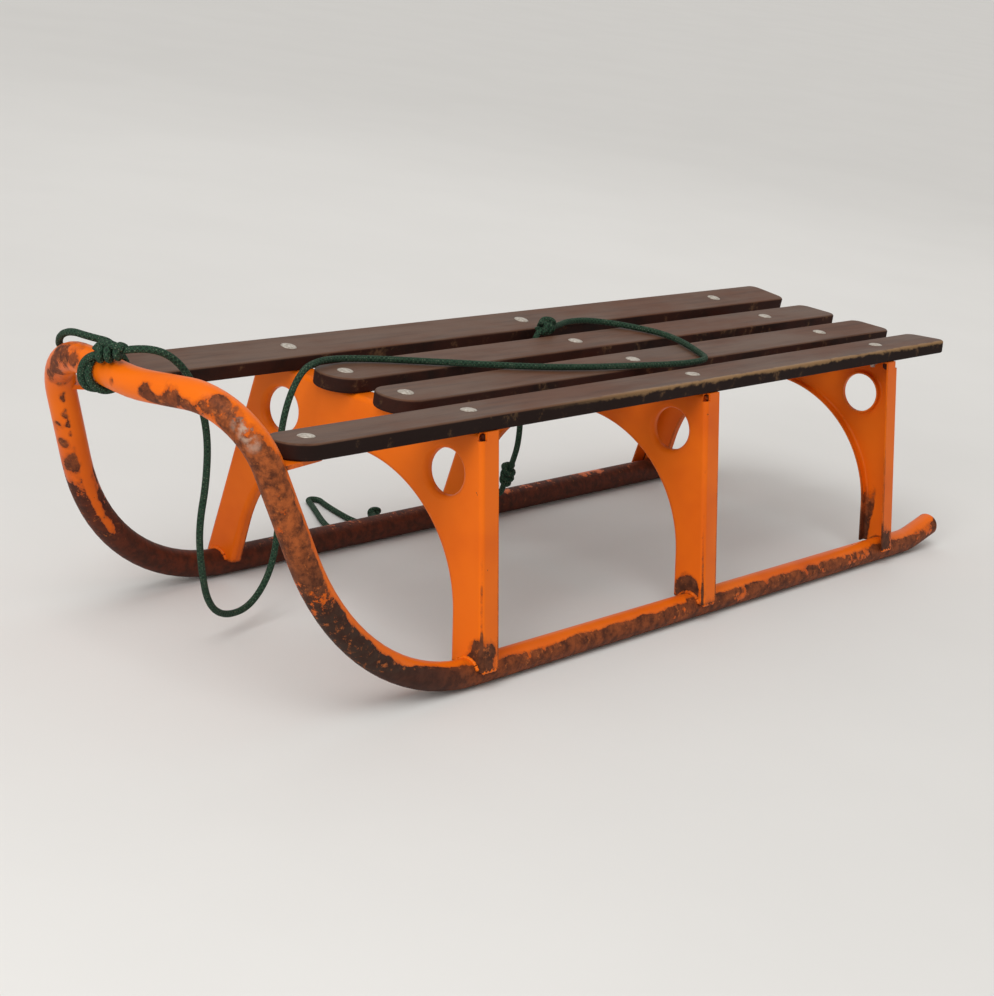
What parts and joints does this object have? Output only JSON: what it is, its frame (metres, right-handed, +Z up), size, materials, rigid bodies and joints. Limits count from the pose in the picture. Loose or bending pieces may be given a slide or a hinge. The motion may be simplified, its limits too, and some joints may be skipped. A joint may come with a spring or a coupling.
{
  "type": "snow sled",
  "caption": "Sled with bent tubular steel runners joined by a front bow, pressed arch supports, wooden seat slats and a tow rope hitched to the bow; slides on snow and is pulled by the rope.",
  "frame": {"origin": "on the floor under the middle of the sled's length and width, without the rope", "axes": "+X forward to the bow, +Y to the rider's left, +Z up"},
  "size_m": [1.1957, 0.4808, 0.3057],
  "materials": {
    "orange_paint": "worn gloss paint with rust chips",
    "slat_wood": "dark brown lacquer, worn at the edges",
    "tow_rope": "twisted dark green cord",
    "zinc_bolts": "dull zinc plate"
  },
  "bodies": {
    "root": {"frame_tube": "orange_paint", "left_end_cap": "orange_paint", "right_end_cap": "orange_paint", "front_support": "orange_paint", "middle_support": "orange_paint", "rear_support": "orange_paint", "left_slat_bracket": "orange_paint", "right_slat_bracket": "orange_paint", "right_outer_slat": "slat_wood", "right_inner_slat": "slat_wood", "left_inner_slat": "slat_wood", "left_outer_slat": "slat_wood", "tow_rope": "tow_rope", "bow_knot": "tow_rope", "bow_hitch": "tow_rope", "rope_end_knot": "tow_rope"}
  },
  "joints": []
}
